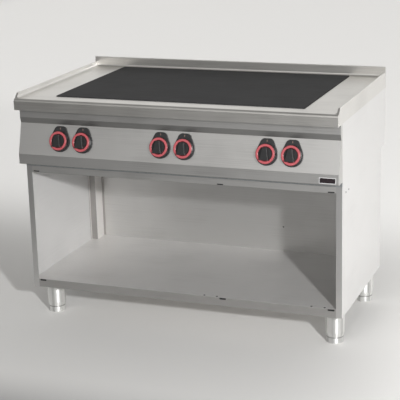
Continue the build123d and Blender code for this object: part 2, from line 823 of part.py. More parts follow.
# Legs: a mounting plate, a tube that narrows at its foot, and a threaded plug inside
plug_top_z = foot_height + leg_plug_height
for number, (x, y) in enumerate(leg_places, 1):
    leg_axis = Plane(origin=(x, y, 0))
    with BuildPart() as leg:
        with BuildSketch(leg_axis.offset(foot_height)):
            Circle(leg_tip_radius)
        with BuildSketch(leg_axis.offset(foot_height + leg_tip_taper)):
            Circle(leg_radius)
        loft()
        with BuildSketch(leg_axis.offset(foot_height + leg_tip_taper)):
            Circle(leg_radius)
        extrude(amount=leg_height - leg_plate_thickness - foot_height - leg_tip_taper)
        with BuildSketch(leg_axis.offset(leg_height)):
            Rectangle(leg_plate_size, leg_plate_size)
        extrude(amount=-leg_plate_thickness)
        with BuildSketch(leg_axis.offset(plug_top_z)):
            Circle(leg_radius - leg_wall)
        extrude(amount=leg_height - leg_plate_thickness - plug_top_z, mode=Mode.SUBTRACT)
        with BuildSketch(leg_axis.offset(foot_height)):
            Circle(spindle_radius + spindle_gap)
        extrude(amount=leg_plug_height, mode=Mode.SUBTRACT)
        with BuildSketch(leg_axis.offset(leg_height)):
            for side_x in (-1, 1):
                for side_y in (-1, 1):
                    with Locations((side_x * leg_screw_offset, side_y * leg_screw_offset)):
                        Circle(screw_radius + screw_hole_gap)
        extrude(amount=-leg_plate_thickness, mode=Mode.SUBTRACT)
    leg.part.label = f"leg_{number}"
    export_step(leg.part, f"parts/leg_{number}.step")

# Feet: a collar with its threaded spindle, screwed in as far as it goes
spindle_length = leg_plug_height + foot_travel + spindle_spare
for number, (x, y) in enumerate(leg_places, 1):
    leg_axis = Plane(origin=(x, y, 0))
    with BuildPart() as foot:
        with BuildSketch(leg_axis):
            Circle(foot_radius)
        extrude(amount=foot_height - fit_gap)
        chamfer(foot.edges().group_by(Axis.Z)[0], foot_edge)
        with BuildSketch(leg_axis.offset(foot_height - fit_gap)):
            Circle(spindle_radius)
        extrude(amount=spindle_length)
    foot.part.label = f"foot_{number}"
    export_step(foot.part, f"parts/foot_{number}.step")

# Frame screws: in the leg plates from below, and in the rear panel from behind
with BuildPart() as frame_screws:
    with BuildSketch(Plane.XY.offset(leg_height - leg_plate_thickness)):
        with Locations(*leg_screw_places):
            Circle(screw_head_radius)
    extrude(amount=-screw_head_height)
    with BuildSketch(Plane.XY.offset(leg_height - leg_plate_thickness)):
        with Locations(*leg_screw_places):
            Circle(screw_radius)
    extrude(amount=screw_length)
    with BuildSketch(Plane.XZ.offset(-rear_panel_y)):
        with Locations(*rear_screw_places):
            Circle(screw_head_radius)
    extrude(amount=-screw_head_height)
    with BuildSketch(Plane.XZ.offset(-rear_panel_y)):
        with Locations(*rear_screw_places):
            Circle(screw_radius)
    extrude(amount=screw_length)
frame_screws.part.label = "frame_screws"
export_step(frame_screws.part, "parts/frame_screws.step")

# Rotary switches behind the fascia, each with a threaded bush through it
with BuildPart() as rotary_switches:
    for x in knob_places:
        with BuildSketch(knob_seat(x, -sheet)):
            Rectangle(switch_size, switch_size)
        extrude(amount=-switch_depth)
        with BuildSketch(knob_seat(x, -sheet)):
            Circle(bush_radius)
        extrude(amount=sheet + bush_reach)
        with BuildSketch(knob_seat(x, bush_reach)):
            Circle(shaft_radius + shaft_gap)
        extrude(amount=-bush_reach - sheet - shaft_depth, mode=Mode.SUBTRACT)
        with BuildSketch(knob_seat(x, -sheet - switch_depth)):
            with GridLocations(switch_tab_spacing, switch_tab_spacing, 2, 3):
                Rectangle(switch_tab_width, switch_tab_thickness)
        extrude(amount=-switch_tab_length)
rotary_switches.part.label = "rotary_switches"
export_step(rotary_switches.part, "parts/rotary_switches.step")

# Ring nuts that hold the switches to the fascia
with BuildPart() as switch_nuts:
    for x in knob_places:
        with BuildSketch(knob_seat(x)):
            RegularPolygon(switch_nut_flats / 2, 6, major_radius=False)
            Circle(bush_radius + thread_gap, mode=Mode.SUBTRACT)
        extrude(amount=switch_nut_height)
switch_nuts.part.label = "switch_nuts"
export_step(switch_nuts.part, "parts/switch_nuts.step")

# Controls: shaft, bezel, knob and ring on each switch
knob_back = bezel_thickness + knob_gap
hub_back = bush_reach + knob_gap
shaft_front = knob_disc_height - shaft_seat
grip_base = ring_front + fit_gap
half_grip = grip_length / 2
grip_outline = [
    (-grip_foot_width / 2, -half_grip),
    (grip_foot_width / 2, -half_grip),
    (grip_tip_width / 2, half_grip),
    (-grip_tip_width / 2, half_grip),
]
tab_corner = (bezel_tab_width / 2 - bezel_tab_radius, bezel_tab_reach - bezel_tab_radius)
flare = degrees(atan2(*reversed(tab_corner)) - acos((bezel_radius - bezel_tab_radius) / hypot(*tab_corner)))
quarter_turn = 90.0
for number, x in enumerate(knob_places, 1):
    with BuildPart() as switch_shaft:
        with BuildSketch(knob_seat(x, fit_gap - sheet - shaft_depth)):
            Circle(shaft_radius)
        extrude(amount=shaft_front + sheet + shaft_depth - fit_gap)
    switch_shaft.part.label = f"switch_shaft_{number}"
    export_step(switch_shaft.part, f"parts/switch_shaft_{number}.step")

    with BuildPart() as bezel:
        with BuildSketch(knob_seat(x)):
            with BuildLine():
                disc = CenterArc((0, 0), bezel_radius, -quarter_turn, quarter_turn + flare)
                corner = CenterArc(tab_corner, bezel_tab_radius, flare, quarter_turn - flare)
                Line(disc @ 1, corner @ 0)
                Line(corner @ 1, (0, bezel_tab_reach))
                mirror(about=Plane.YZ)
            make_face()
            Circle(bezel_bore_radius, mode=Mode.SUBTRACT)
        extrude(amount=bezel_thickness)
        front = bezel.faces().sort_by(Axis(knob_seat(x).location))[-1]
        fillet(front.outer_wire().edges(), bezel_edge_radius)
    bezel.part.label = f"bezel_{number}"
    export_step(bezel.part, f"parts/bezel_{number}.step")

    with BuildPart() as knob:
        with BuildSketch(knob_seat(x, knob_back)):
            Circle(knob_radius)
        with BuildSketch(knob_seat(x, knob_disc_height)):
            Circle(knob_front_radius)
        loft()
        with BuildSketch(knob_seat(x, knob_back)):
            Circle(knob_front_radius - knob_wall)
        extrude(amount=knob_disc_height - knob_back - knob_wall, mode=Mode.SUBTRACT)
        with BuildSketch(knob_seat(x, hub_back)):
            Circle(knob_hub_radius)
        extrude(amount=knob_disc_height - hub_back)
        with BuildSketch(knob_seat(x, hub_back)):
            Circle(shaft_radius + shaft_gap)
        extrude(amount=shaft_front - hub_back, mode=Mode.SUBTRACT)
        with BuildSketch(knob_seat(x, knob_disc_height)):
            Circle(ring_inner_radius - fit_gap)
        extrude(amount=grip_base - knob_disc_height)
        with BuildSketch(knob_seat(x, grip_base)):
            Polygon(*grip_outline, align=None)
        with BuildSketch(knob_seat(x, grip_front)):
            Polygon(*grip_outline, align=None)
            offset(amount=-grip_draft, mode=Mode.REPLACE)
        loft()
        front = knob.faces().sort_by(Axis(knob_seat(x).location))[-1]
        fillet(front.edges(), grip_edge_radius)
    knob.part.label = f"knob_{number}"
    export_step(knob.part, f"parts/knob_{number}.step")

    with BuildPart() as knob_ring:
        with BuildSketch(knob_seat(x, knob_disc_height)):
            Circle(knob_front_radius)
            Circle(ring_inner_radius, mode=Mode.SUBTRACT)
        extrude(amount=ring_height)
        front = knob_ring.faces().sort_by(Axis(knob_seat(x).location))[-1]
        fillet(front.edges(), ring_edge_radius)
    knob_ring.part.label = f"knob_ring_{number}"
    export_step(knob_ring.part, f"parts/knob_ring_{number}.step")

# Terminal block on the module's floor
terminal_front_y = service_y - gland_nut_flats / 2 - terminal_gap - terminal_depth
terminal_top_z = floor_top_z + terminal_height
with BuildPart() as terminal_block:
    block(
        (service_x - terminal_width / 2, service_x + terminal_width / 2),
        (terminal_front_y, terminal_front_y + terminal_depth),
        (floor_top_z, terminal_top_z),
    )
    with BuildSketch(Plane.XY.offset(terminal_top_z)):
        with Locations((service_x, terminal_front_y + terminal_depth / 2)):
            with GridLocations(terminal_pitch, 1, terminal_poles, 1):
                Circle(terminal_hole_radius)
    extrude(amount=-terminal_hole_depth, mode=Mode.SUBTRACT)
terminal_block.part.label = "terminal_block"
export_step(terminal_block.part, "parts/terminal_block.step")

# Wiring loom: trunk on the fascia's return, branches that clear the terminal block, and leads up
loom_right_x = knob_places[-1]
last_cold_y = max(y for _, y in cold_end_places)
branch_x = sorted({x for x, _ in cold_end_places})
branch_z = terminal_top_z + terminal_gap + loom_branch_radius
with BuildPart() as wiring_loom:
    with BuildSketch(Plane.YZ.offset(service_x)):
        with Locations((loom_y, loom_z)):
            Circle(loom_radius)
    extrude(amount=loom_right_x - service_x)
    with BuildSketch(Plane.XZ.offset(-terminal_front_y)):
        with Locations((service_x, loom_z)):
            Circle(loom_branch_radius)
    extrude(amount=terminal_front_y - loom_y)
    with BuildSketch(Plane.XZ.offset(-last_cold_y)):
        with Locations(*[(x, branch_z) for x in branch_x]):
            Circle(loom_branch_radius)
    extrude(amount=last_cold_y - loom_y)
    with BuildSketch(Plane.XY.offset(loom_z)):
        with Locations(*[(x, loom_y) for x in branch_x]):
            Circle(loom_branch_radius)
    extrude(amount=branch_z - loom_z)
    with BuildSketch(Plane.XY.offset(branch_z)):
        with Locations(*cold_end_places):
            Circle(loom_lead_radius)
    extrude(amount=cold_end_z - branch_z)
    with BuildSketch(Plane.XY.offset(loom_z)):
        with Locations(*[(x, loom_y) for x in knob_places]):
            Circle(loom_lead_radius)
    extrude(amount=knob_z - loom_z)
    for x in knob_places:
        with BuildSketch(knob_seat(x)):
            Rectangle(switch_size, switch_size)
        extrude(amount=-sheet - switch_depth, mode=Mode.SUBTRACT)
wiring_loom.part.label = "wiring_loom"
export_step(wiring_loom.part, "parts/wiring_loom.step")

# Supply inlet: a cable gland through the floor where the module overhangs the stand
gland_plane = Plane(origin=(service_x, service_y, cabinet_top_z))
gland_bottom = -gland_hex_height - gland_dome_height
with BuildPart() as cable_gland:
    with BuildSketch(gland_plane):
        RegularPolygon(gland_flats / 2, 6, major_radius=False)
    extrude(amount=-gland_hex_height)
    with BuildSketch(gland_plane.offset(-gland_hex_height)):
        Circle(gland_dome_radius)
    extrude(amount=-gland_dome_height)
    chamfer(cable_gland.edges().group_by(Axis.Z)[0], gland_edge)
    with BuildSketch(gland_plane):
        Circle(gland_thread_radius)
    extrude(amount=gland_thread_reach)
    with BuildSketch(gland_plane.offset(gland_bottom)):
        Circle(gland_bore_radius)
    extrude(amount=gland_thread_reach - gland_bottom, mode=Mode.SUBTRACT)
    with BuildSketch(gland_plane.offset(sheet)):
        RegularPolygon(gland_nut_flats / 2, 6, major_radius=False)
        Circle(gland_thread_radius + thread_gap, mode=Mode.SUBTRACT)
    extrude(amount=gland_nut_height)
cable_gland.part.label = "cable_gland"
export_step(cable_gland.part, "parts/cable_gland.step")

# Bonding stud beside the inlet, locked by a tight nut on each side of the floor
bond_plane = Plane(origin=(service_x + bond_spacing, service_y, cabinet_top_z))
with BuildPart() as bonding_stud:
    with BuildSketch(bond_plane.offset(-bond_reach)):
        Circle(bond_radius)
    extrude(amount=bond_reach + sheet + bond_top_reach)
    for nut_base in (-bond_nut_height, sheet):
        with BuildSketch(bond_plane.offset(nut_base)):
            RegularPolygon(bond_nut_flats / 2, 6, major_radius=False)
        extrude(amount=bond_nut_height)
bonding_stud.part.label = "bonding_stud"
export_step(bonding_stud.part, "parts/bonding_stud.step")

print("worktop front at Y", round(worktop_front_y, 3), "knob overhang", round(knob_overhang, 3))
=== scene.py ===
# %% [markdown]
# # A commercial electric range
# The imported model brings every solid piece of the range, already in place and in metres. This lesson
# gives each piece its finish, adds the small hardware, and sets up the floor, the light and the camera.

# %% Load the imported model
import json
import math

import bmesh
import bpy
from mathutils import Matrix, Vector


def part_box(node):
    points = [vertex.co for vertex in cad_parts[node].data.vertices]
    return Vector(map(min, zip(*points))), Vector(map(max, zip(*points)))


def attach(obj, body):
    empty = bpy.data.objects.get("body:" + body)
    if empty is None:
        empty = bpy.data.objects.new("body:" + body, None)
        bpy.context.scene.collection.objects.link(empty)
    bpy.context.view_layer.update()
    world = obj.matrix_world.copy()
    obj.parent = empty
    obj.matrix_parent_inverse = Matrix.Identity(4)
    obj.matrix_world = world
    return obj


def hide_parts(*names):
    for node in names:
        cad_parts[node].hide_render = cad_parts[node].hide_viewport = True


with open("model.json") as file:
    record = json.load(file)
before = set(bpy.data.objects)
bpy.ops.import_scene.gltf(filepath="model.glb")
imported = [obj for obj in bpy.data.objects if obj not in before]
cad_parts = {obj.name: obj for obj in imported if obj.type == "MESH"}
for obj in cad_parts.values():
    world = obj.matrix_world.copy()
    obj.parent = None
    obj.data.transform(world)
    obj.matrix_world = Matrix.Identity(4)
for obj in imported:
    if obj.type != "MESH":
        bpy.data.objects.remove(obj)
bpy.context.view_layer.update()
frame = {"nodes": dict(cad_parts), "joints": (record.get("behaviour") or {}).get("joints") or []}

scene = bpy.context.scene
scene.view_settings.view_transform = "Standard"
nodes = frame["nodes"]
MM = 0.001

# %% [markdown]
# ## Camera
# The view is three-quarter, from the right and a little above. A camera can be aimed with a Track To
# constraint, but a fitted view also has a slight roll, so its three axes are written straight into the
# camera's matrix. The focal length is known in pixels of a 400-pixel picture, and the width of the sensor
# turns it into millimetres.

# %% Camera
PICTURE_PIXELS, FOCAL_PIXELS, SENSOR_WIDTH = 400, 1268.55, 36
YAW, PITCH, ROLL = 0.36903, 0.27869, -0.02868
WORKTOP_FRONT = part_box("worktop")[0].y
CAMERA_PLACE = (1.63529, WORKTOP_FRONT - 3.94974, 1.74201)
CLIP_END = 200

flat = math.cos(PITCH)
forward = Vector((-math.sin(YAW) * flat, math.cos(YAW) * flat, -math.sin(PITCH)))
level = Vector((math.cos(YAW), math.sin(YAW), 0))
upward = level.cross(forward)
right = math.cos(ROLL) * level + math.sin(ROLL) * upward
top = math.cos(ROLL) * upward - math.sin(ROLL) * level

camera = bpy.data.objects.new("camera", bpy.data.cameras.new("camera"))
scene.collection.objects.link(camera)
camera.data.sensor_width = SENSOR_WIDTH
camera.data.lens = FOCAL_PIXELS / PICTURE_PIXELS * SENSOR_WIDTH
camera.data.clip_end = CLIP_END
turn = Matrix((right, top, -forward)).transposed().to_4x4()
camera.matrix_world = Matrix.Translation(CAMERA_PLACE) @ turn
scene.camera = camera
print("lens", round(camera.data.lens, 1), "mm")

# %% [markdown]
# ## Colours and nodes
# Colours are written as sRGB hex values, the way a colour picker shows them, and shaders work in linear
# light, so one function converts them. A second function adds a node with its settings and its links in
# one line, which keeps each material short enough to read.

# %% Colours and nodes
def colour(hex_value):
    """An sRGB hex colour as linear RGBA."""
    parts = [int(hex_value[i:i + 2], 16) / 255 for i in (1, 3, 5)]
    return [p / 12.92 if p <= 0.04045 else ((p + 0.055) / 1.055) ** 2.4 for p in parts] + [1.0]


def add(tree, kind, settings=None, **links):
    """Adds a node with its settings and links. A link names an input and the socket that feeds it."""
    node = tree.nodes.new("ShaderNode" + kind)
    for name, value in (settings or {}).items():
        if name in node.inputs:
            node.inputs[name].default_value = value
        else:
            setattr(node, name, value)
    for name, socket in links.items():
        tree.links.new(socket, node.inputs[int(name[1:]) if name[0] == "_" else name.replace("_", " ")])
    return node


def start(name, **values):
    """A new material with its own Principled shader, whose plain values are set on its sockets."""
    material = bpy.data.materials.new(name)
    material.use_nodes = True
    shader = material.node_tree.nodes["Principled BSDF"]
    for socket, value in values.items():
        shader.inputs[socket.replace("_", " ")].default_value = value
    return material, material.node_tree, shader


print("mid grey is", round(colour("#808080")[0], 3), "in linear light")

# %% [markdown]
# ## Brushed stainless steel
# Nearly every panel is satin stainless sheet. A grinding belt leaves fine parallel scratches, so a
# highlight spreads across the scratches and stays short along them. Noise that is stretched along the
# scratches gives that look. Real scratches are about 0.05 mm apart and would vanish here, so they are
# drawn 1.5 mm apart, and a second, slower noise gives the faint cloudiness of handled sheet. Each panel
# runs its grain along its long side.

# %% Brushed stainless steel
SCRATCH_WIDTH, SCRATCH_LENGTH, CLOUD_SIZE = 1.5 * MM, 220 * MM, 180 * MM


def brushed(name, grain, tone, deep, rough, metal=1.0):
    """Satin stainless sheet whose scratches run along one axis: 0 is X, 1 is Y and 2 is Z."""
    material, tree, shader = start(name, Metallic=metal)
    place = add(tree, "TexCoord").outputs["Object"]
    across = [1 / SCRATCH_WIDTH] * 3
    across[grain] = 1 / SCRATCH_LENGTH
    stretched = add(tree, "Mapping", {"Scale": across}, Vector=place)
    fine = {"Scale": 1.0, "Detail": 4.0, "Roughness": 0.6}
    scratches = add(tree, "TexNoise", fine, Vector=stretched.outputs["Vector"]).outputs["Fac"]
    clouds = add(tree, "TexNoise", {"Scale": 1 / CLOUD_SIZE, "Detail": 2.0}, Vector=place).outputs["Fac"]
    both = add(tree, "Math", {"operation": "ADD"}, _0=scratches, _1=clouds)
    ramp = add(tree, "ValToRGB", Fac=both.outputs["Value"])
    ramp.color_ramp.elements[0].position = 0.75
    ramp.color_ramp.elements[0].color = colour(deep)
    ramp.color_ramp.elements[1].position = 1.0
    ramp.color_ramp.elements[1].color = colour(tone)
    tree.links.new(ramp.outputs["Color"], shader.inputs["Base Color"])
    spread = add(tree, "MapRange", {"To Min": rough - 0.07, "To Max": rough + 0.07}, Value=scratches)
    tree.links.new(spread.outputs["Result"], shader.inputs["Roughness"])
    bump = add(tree, "Bump", {"Strength": 0.12, "Distance": 0.05 * MM}, Height=scratches)
    tree.links.new(bump.outputs["Normal"], shader.inputs["Normal"])
    return material


# Pale and satin, with long soft reflections of the back of the room.
worktop_steel = brushed("stainless_worktop_brushed", 0, "#dcdad6", "#cfcdc9", 0.36)
# The same sheet, ground a little coarser, so the floor shows in it only as a tone.
fascia_steel = brushed("stainless_fascia_brushed", 0, "#dcdbd9", "#cfcecc", 0.40)
# Pale and even.
side_steel = brushed("stainless_side_mill_skin", 1, "#e4e3e2", "#dfdedd", 0.42)
# Upright grain, with painted shade on the fronts and pale on the side.
post_steel = brushed("stainless_post_brushed", 2, "#e6e3e0", "#dcd9d6", 0.36)
# A dull mirror of the bay's floor and left side, with enough skin to show a shadow.
back_steel = brushed("stainless_back_satin", 0, "#cac9c7", "#c2c1bf", 0.34, metal=0.77)
# Pale, and dull enough to carry the shadow of the post.
shelf_steel = brushed("stainless_shelf_mill_skin", 0, "#e4e2e0", "#dcdad8", 0.40)
print("made six brushed steels")

# %% [markdown]
# Three things on a sheet change with the way a face looks, and the normal tells the faces apart. The sides,
# the worktop's rims, the posts' sides and the bay's floor keep the dull skin of the rolling mill, which
# scatters light almost like grey paint, so Metallic drops there. The fronts carry painted light and shade:
# the posts' fronts and the folds round the bay are painted darker, and the worktop's apron is painted
# brighter. And a face that looks a little down, like the strip under the apron, gets painted shade.

# %% Mill skin and painted light and shade
def by_facing(material, axis, limits, either_way=False):
    """A number that follows one part of the normal, between the limits of a Map Range node."""
    tree = material.node_tree
    normal = add(tree, "NewGeometry").outputs["Normal"]
    if either_way:
        normal = add(tree, "VectorMath", {"operation": "ABSOLUTE"}, _0=normal).outputs["Vector"]
    part = add(tree, "SeparateXYZ", Vector=normal)
    return add(tree, "MapRange", limits, Value=part.outputs[axis]).outputs["Result"]


def set_metallic(material, amount):
    """Lets a number that changes over the piece decide how metallic it is."""
    tree = material.node_tree
    tree.links.new(amount, tree.nodes["Principled BSDF"].inputs["Metallic"])


def shade(material, amount):
    """Paints light and shade into a material's colour: it scales the colour by a number that changes over
    the piece.
    """
    tree = material.node_tree
    socket = tree.nodes["Principled BSDF"].inputs["Base Color"]
    painted_light_and_shade = add(tree, "HueSaturation", Color=socket.links[0].from_socket, Value=amount)
    tree.links.new(painted_light_and_shade.outputs["Color"], socket)


SIDEWAYS = {"From Min": 0.2, "From Max": 0.5}
FRONTWARDS = {"From Min": -0.9, "From Max": -0.5}
DOWNWARDS = {"From Min": -0.2, "From Max": -0.1}
rim_skin = {**SIDEWAYS, "To Min": 1.0, "To Max": 0.3}
for steel in (worktop_steel, post_steel):
    set_metallic(steel, by_facing(steel, "X", rim_skin, either_way=True))
# Painted light: the worktop's front faces, the apron among them, are scaled brighter.
shade(worktop_steel, by_facing(worktop_steel, "Y", {**FRONTWARDS, "To Min": 1.14, "To Max": 1.0}))
# Painted shade: the posts' front faces are scaled darker.
shade(post_steel, by_facing(post_steel, "Y", {**FRONTWARDS, "To Min": 0.52, "To Max": 1.0}))
# Less metal away from the fronts, and painted shade that darkens the front folds of the sides and the bay's
# floor.
for steel, skin, painted_fold_shade in ((side_steel, 0.3, 0.82), (shelf_steel, 0.42, 0.59)):
    set_metallic(steel, by_facing(steel, "Y", {**FRONTWARDS, "To Min": 1.0, "To Max": skin}))
    shade(steel, by_facing(steel, "Y", {**FRONTWARDS, "To Min": painted_fold_shade, "To Max": 1.0}))
# Painted shade: fascia faces that look a little down, like the strip under the apron, are scaled darker.
shade(fascia_steel, by_facing(fascia_steel, "Z", {**DOWNWARDS, "To Min": 0.60, "To Max": 1.0}))
print("skin on the sides, rims and floor, ground fronts, film on the fascia")

# %% [markdown]
# ## Polished stainless tube
# The legs are drawn tube, polished on a lathe. Drawing leaves lengthwise bands, and the polish leaves
# hair-fine rings round the tube, which stretch a highlight along it into an upright streak. Noise that
# does not change with height draws the bands, anisotropy with an upright tangent gives the streak, and
# noise that is dense in Z draws the rings, 1.2 mm apart so that they still show.

# %% Polished stainless tube
BAND_WIDTH, RING_WIDTH, RING_LENGTH = 14 * MM, 1.2 * MM, 90 * MM


def polished(name, tone, deep, rough):
    """Lathe-polished drawn stainless with bands along Z and hair-fine rings round it."""
    material, tree, shader = start(name, Metallic=0.85, Anisotropic=0.8)
    upright = add(tree, "CombineXYZ", {"X": 0.0, "Y": 0.0, "Z": 1.0})
    tree.links.new(upright.outputs["Vector"], shader.inputs["Tangent"])
    place = add(tree, "TexCoord").outputs["Object"]
    tall = add(tree, "Mapping", {"Scale": (1 / BAND_WIDTH, 1 / BAND_WIDTH, 0)}, Vector=place)
    bands = add(tree, "TexNoise", {"Scale": 1.0, "Detail": 2.0}, Vector=tall.outputs["Vector"])
    flat_scale = (1 / RING_LENGTH, 1 / RING_LENGTH, 1 / RING_WIDTH)
    flattened = add(tree, "Mapping", {"Scale": flat_scale}, Vector=place)
    noise = add(tree, "TexNoise", {"Scale": 1.0, "Detail": 3.0}, Vector=flattened.outputs["Vector"])
    rings = noise.outputs["Fac"]
    ramp = add(tree, "ValToRGB", Fac=bands.outputs["Fac"])
    ramp.color_ramp.elements[0].position = 0.38
    ramp.color_ramp.elements[0].color = colour(deep)
    ramp.color_ramp.elements[1].position = 0.55
    ramp.color_ramp.elements[1].color = colour(tone)
    tree.links.new(ramp.outputs["Color"], shader.inputs["Base Color"])
    spread = add(tree, "MapRange", {"To Min": rough - 0.05, "To Max": rough + 0.07}, Value=rings)
    tree.links.new(spread.outputs["Result"], shader.inputs["Roughness"])
    bump = add(tree, "Bump", {"Strength": 0.06, "Distance": 0.03 * MM}, Height=rings)
    tree.links.new(bump.outputs["Normal"], shader.inputs["Normal"])
    return material


# Bright, with one upright streak between greyer bands.
leg_steel = polished("stainless_tube_polished", "#f8f8f6", "#cececc", 0.44)
# The same steel, with painted shade: a dark line at the joint under the tube.
foot_steel = polished("stainless_collar_polished", "#f6f6f4", "#cccccb", 0.44)
JOINT_PAINTED_SHADE = {"From Min": 20 * MM, "From Max": 22 * MM, "To Min": 1.0, "To Max": 0.5}
tree = foot_steel.node_tree
place = add(tree, "TexCoord").outputs["Object"]
height = add(tree, "SeparateXYZ", Vector=place).outputs["Z"]
# Painted shade: the foot is darker from 20 mm above the floor upward, towards the tube.
shade(foot_steel, add(tree, "MapRange", JOINT_PAINTED_SHADE, Value=height).outputs["Result"])
print("made", leg_steel.name, foot_steel.name)

# %% [markdown]
# ## Hot plate
# The cooking plate is thick rolled steel with a dark oxide skin from heat and seasoning oil. The oxide is
# matte and no longer metallic to the eye. Broad soft clouds come from uneven heating, and a fine grain
# from the ground face, drawn 2 mm apart because the real one would vanish.

# %% Hot plate
HEAT_CLOUD, GRIND_WIDTH, GRIND_LENGTH = 140 * MM, 2 * MM, 160 * MM

# Almost black and quite dull.
plate_steel, tree, shader = start("plate_steel_blued", IOR=1.45, Specular_IOR_Level=0.08)
place = add(tree, "TexCoord").outputs["Object"]
soft = {"Scale": 1 / HEAT_CLOUD, "Detail": 5.0, "Roughness": 0.55}
clouds = add(tree, "TexNoise", soft, Vector=place)
long_scale = (1 / GRIND_LENGTH, 1 / GRIND_WIDTH, 1 / GRIND_WIDTH)
stretched = add(tree, "Mapping", {"Scale": long_scale}, Vector=place)
noise = add(tree, "TexNoise", {"Scale": 1.0, "Detail": 3.0}, Vector=stretched.outputs["Vector"])
grind = noise.outputs["Fac"]
ramp = add(tree, "ValToRGB", Fac=clouds.outputs["Fac"])
ramp.color_ramp.elements[0].position = 0.3
ramp.color_ramp.elements[0].color = colour("#383839")
ramp.color_ramp.elements[1].position = 0.75
ramp.color_ramp.elements[1].color = colour("#3f3f40")
tree.links.new(ramp.outputs["Color"], shader.inputs["Base Color"])
spread = add(tree, "MapRange", {"To Min": 0.52, "To Max": 0.72}, Value=grind)
tree.links.new(spread.outputs["Result"], shader.inputs["Roughness"])
bump = add(tree, "Bump", {"Strength": 0.1, "Distance": 0.05 * MM}, Height=grind)
tree.links.new(bump.outputs["Normal"], shader.inputs["Normal"])
print("made", plate_steel.name)

# %% [markdown]
# ## Moulded plastics, ceramics and fibres
# Knobs and bezels are moulded from a black thermoset with a faint spark-eroded grain, and the rings are a
# glossy red cap. Most dull, non-metal pieces differ only in colour, roughness and grain, so one function
# makes them all: a soft noise moves the colour between two tones and a finer one raises the grain.

# %% Moulded plastics, ceramics and fibres
DRIFT_IN_GRAINS = 12


def moulded(name, light, dark, rough, grain_mm, depth_mm):
    """A dull non-metal with a fine grain of a given size and depth."""
    material, tree, shader = start(name, IOR=1.5)
    place = add(tree, "TexCoord").outputs["Object"]
    grain_size = grain_mm * MM
    grain = add(tree, "TexNoise", {"Scale": 1 / grain_size, "Detail": 3.0}, Vector=place).outputs["Fac"]
    slow = {"Scale": 1 / (DRIFT_IN_GRAINS * grain_size), "Detail": 2.0}
    ramp = add(tree, "ValToRGB", Fac=add(tree, "TexNoise", slow, Vector=place).outputs["Fac"])
    ramp.color_ramp.elements[0].position = 0.3
    ramp.color_ramp.elements[0].color = colour(dark)
    ramp.color_ramp.elements[1].position = 0.7
    ramp.color_ramp.elements[1].color = colour(light)
    tree.links.new(ramp.outputs["Color"], shader.inputs["Base Color"])
    spread = add(tree, "MapRange", {"To Min": rough - 0.05, "To Max": rough + 0.06}, Value=grain)
    tree.links.new(spread.outputs["Result"], shader.inputs["Roughness"])
    bump = add(tree, "Bump", {"Strength": 0.15, "Distance": depth_mm * MM}, Height=grain)
    tree.links.new(bump.outputs["Normal"], shader.inputs["Normal"])
    return material


# Black with a soft edge light, and a shade greyer for the flat bezels.
knob_black = moulded("thermoset_black_moulded", "#2b2b2c", "#232324", 0.42, 0.6, 0.03)
bezel_black = moulded("thermoset_bezel_moulded", "#323233", "#29292a", 0.48, 0.6, 0.03)
# The one strong colour, glossy.
ring_red = moulded("abs_red_gloss", "#cb646a", "#c35a61", 0.26, 1.5, 0.01)
# A faded brown-grey stroke.
mark_ink = moulded("ink_pad_printed", "#947a70", "#866c63", 0.55, 0.5, 0.01)
# Small black and grey hardware.
gland_black = moulded("polyamide_black_moulded", "#262626", "#1e1e1e", 0.5, 0.8, 0.04)
switch_grey = moulded("thermoset_grey_moulded", "#a89f90", "#978d7d", 0.55, 0.8, 0.04)
# Soft, matte and fibrous, inside the range.
loom_black = moulded("silicone_sleeve_braided", "#2a2a2a", "#1b1b1b", 0.7, 1.2, 0.1)
board_white = moulded("ceramic_fibre_pressed", "#e6e2d8", "#d6d0c2", 0.95, 2.5, 0.4)
gasket_white = moulded("glass_fibre_woven", "#d5cfc0", "#bdb5a2", 0.9, 1.5, 0.3)
# The bare plate: a pale lacquered frame round a dark face.
plate_pale = moulded("aluminium_frame_lacquered", "#dedede", "#d2d2d2", 0.35, 1.0, 0.01)
plate_dark = moulded("aluminium_face_anodised", "#2b2024", "#221a1d", 0.35, 1.0, 0.01)
print("made the plastics and fibres")

# %% [markdown]
# A ring's crest gets a painted highlight and its flanks painted shade, over the red of the moulding. The
# crest is where the surface looks along the knob's axis, so the dot product of the two scales the colour.
# Turning the knob changes neither of them.

# %% Painted highlight and shade on the rings
turns = {joint["child"]: joint for joint in frame["joints"] if joint["type"] == "hinge"}
tree = ring_red.node_tree
normal = add(tree, "NewGeometry").outputs["Normal"]
crest = add(tree, "VectorMath", {"operation": "DOT_PRODUCT"}, _0=normal)
crest.inputs[1].default_value = -Vector(turns["control_1"]["axis"])
flank_to_crest = {"From Min": 0.55, "From Max": 1.0, "To Min": 0.15, "To Max": 1.0}
painted = add(tree, "MapRange", flank_to_crest, Value=crest.outputs["Value"])
shade(ring_red, painted.outputs["Result"])
print("rubbed the crest of", ring_red.name)

# %% [markdown]
# ## Plated and oxidised metals
# Hidden sheet is galvanised, and molten zinc freezes in flat crystals some 8 mm wide, which Voronoi cells
# draw well. Screws and nuts are zinc plated. The element tubes carry a grey-green heat oxide, and the
# bonding stud is plain brass. The same function serves them all with another cell size and tone.

